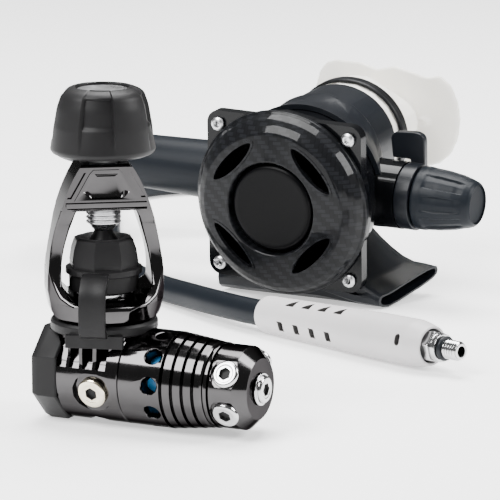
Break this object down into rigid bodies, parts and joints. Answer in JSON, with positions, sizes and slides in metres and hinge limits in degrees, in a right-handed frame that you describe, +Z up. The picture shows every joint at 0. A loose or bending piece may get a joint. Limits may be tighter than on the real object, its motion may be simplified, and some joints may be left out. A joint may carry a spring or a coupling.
{
  "type": "scuba regulator set",
  "caption": "Scuba regulator set: yoke first stage with clamp knob and swivel turret, second stage with purge cover and mouthpiece, and a hose ending in a guarded fitting",
  "frame": {"origin": "on the floor under the middle of the two stages' bounding box", "axes": "+Z up, with the yoke standing on it; -Y towards the viewer, where the purge cover faces; +X to the viewer's right"},
  "size_m": [0.2296, 0.6075, 0.1531],
  "materials": {
    "black_chrome": "gloss",
    "chrome": "polished",
    "steel": "satin",
    "pale_gold": "polished",
    "black_rubber": "matte",
    "black_plastic": "matte",
    "gloss_black": "gloss",
    "carbon": "gloss",
    "blue_black": "satin",
    "slate_rubber": "satin",
    "grey_rubber": "satin",
    "silicone": "satin",
    "blue_plastic": "satin",
    "filter_brass": "sintered"
  },
  "bodies": {
    "set": {"first_stage_body": "black_chrome", "swivel_cap": "black_chrome", "yoke": "black_chrome", "turret_end_bolt": "chrome", "yoke_retainer": "chrome", "valve_tube": "chrome", "hose_inlet_fitting": "chrome", "hose_fitting": "chrome", "cover_screw_1": "steel", "cover_screw_2": "steel", "cover_screw_3": "steel", "cover_screw_4": "steel", "high_pressure_plug_front": "pale_gold", "high_pressure_plug_rear": "pale_gold", "body_end_bumper": "black_rubber", "dust_cap": "black_rubber", "dust_cap_strap": "black_rubber", "fitting_o_ring": "black_rubber", "mouthpiece_clamp": "black_plastic", "second_stage_case": "gloss_black", "front_cover": "carbon", "mouth_shroud": "blue_black", "exhaust_tee": "blue_black", "second_stage_hose_guard": "slate_rubber", "low_pressure_hose": "slate_rubber", "hose_end_guard": "grey_rubber", "high_pressure_seat": "grey_rubber", "mouthpiece": "silicone", "diaphragm": "silicone", "exhaust_valve": "silicone", "spring_insulator": "blue_plastic", "inlet_filter": "filter_brass"},
    "turret": {"low_pressure_turret": "black_chrome", "low_pressure_plug_1": "chrome", "low_pressure_plug_2": "chrome", "low_pressure_plug_3": "chrome", "low_pressure_plug_4": "chrome"},
    "piston_group": {"piston": "steel", "piston_spring": "steel"},
    "screw": {"yoke_screw": "steel"},
    "knob": {"yoke_knob": "black_rubber", "knob_top_disc": "steel"},
    "button": {"purge_button": "black_plastic"},
    "plate": {"diaphragm_plate": "steel"},
    "lever": {"demand_lever": "steel"},
    "poppet": {"demand_poppet": "blue_plastic", "poppet_spring": "steel"},
    "venturi": {"venturi_lever": "blue_black"},
    "inhale": {"inhale_knob": "slate_rubber", "inhale_knob_disc": "steel", "inhale_spindle": "steel"}
  },
  "joints": [
    {"name": "turret_spin", "type": "hinge", "parent": "set", "child": "turret", "pos_m": [-0.01647, -0.18593, 0.022], "axis": [0.8942, -0.4478, 0], "continuous": true},
    {"name": "screw_travel", "type": "slide", "parent": "set", "child": "screw", "axis": [0, 0, 1], "range_m": [0, 0.012]},
    {"name": "knob_turn", "type": "hinge", "parent": "screw", "child": "knob", "pos_m": [-0.07727, -0.15548, 0.13], "axis": [0, 0, 1], "range_deg": [0, 2160]},
    {"name": "piston_travel", "type": "slide", "parent": "set", "child": "piston_group", "axis": [-0.8942, 0.4478, 0], "range_m": [0, 0.002], "stiffness_N_per_m": 1500},
    {"name": "purge_press", "type": "slide", "parent": "set", "child": "button", "axis": [0.4642, 0.8805, 0.0958], "range_m": [0, 0.003], "stiffness_N_per_m": 400},
    {"name": "plate_travel", "type": "slide", "parent": "set", "child": "plate", "axis": [0.4642, 0.8805, 0.0958], "range_m": [0, 0.0031]},
    {"name": "lever_swing", "type": "hinge", "parent": "set", "child": "lever", "pos_m": [0.03539, 0.10021, 0.05559], "axis": [0.0138, 0.101, -0.9948], "range_deg": [0, 8]},
    {"name": "poppet_travel", "type": "slide", "parent": "set", "child": "poppet", "axis": [0.8856, -0.4631, -0.0347], "range_m": [0, 0.00051]},
    {"name": "venturi_swing", "type": "hinge", "parent": "set", "child": "venturi", "pos_m": [0.0707, 0.09433, 0.05548], "axis": [-0.8856, 0.4631, 0.0347], "range_deg": [0, 50]},
    {"name": "inhale_turn", "type": "hinge", "parent": "set", "child": "inhale", "pos_m": [0.0893, 0.0846, 0.05475], "axis": [0.8856, -0.4631, -0.0347], "range_deg": [-360, 360]}
  ],
  "couplings": [
    {"joint": "knob_turn", "follows": "screw_travel", "rad_per_m": 3141.6},
    {"joint": "plate_travel", "follows": "purge_press", "ratio": 1},
    {"joint": "lever_swing", "follows": "purge_press", "rad_per_m": 45.45},
    {"joint": "poppet_travel", "follows": "purge_press", "ratio": 0.1667}
  ]
}
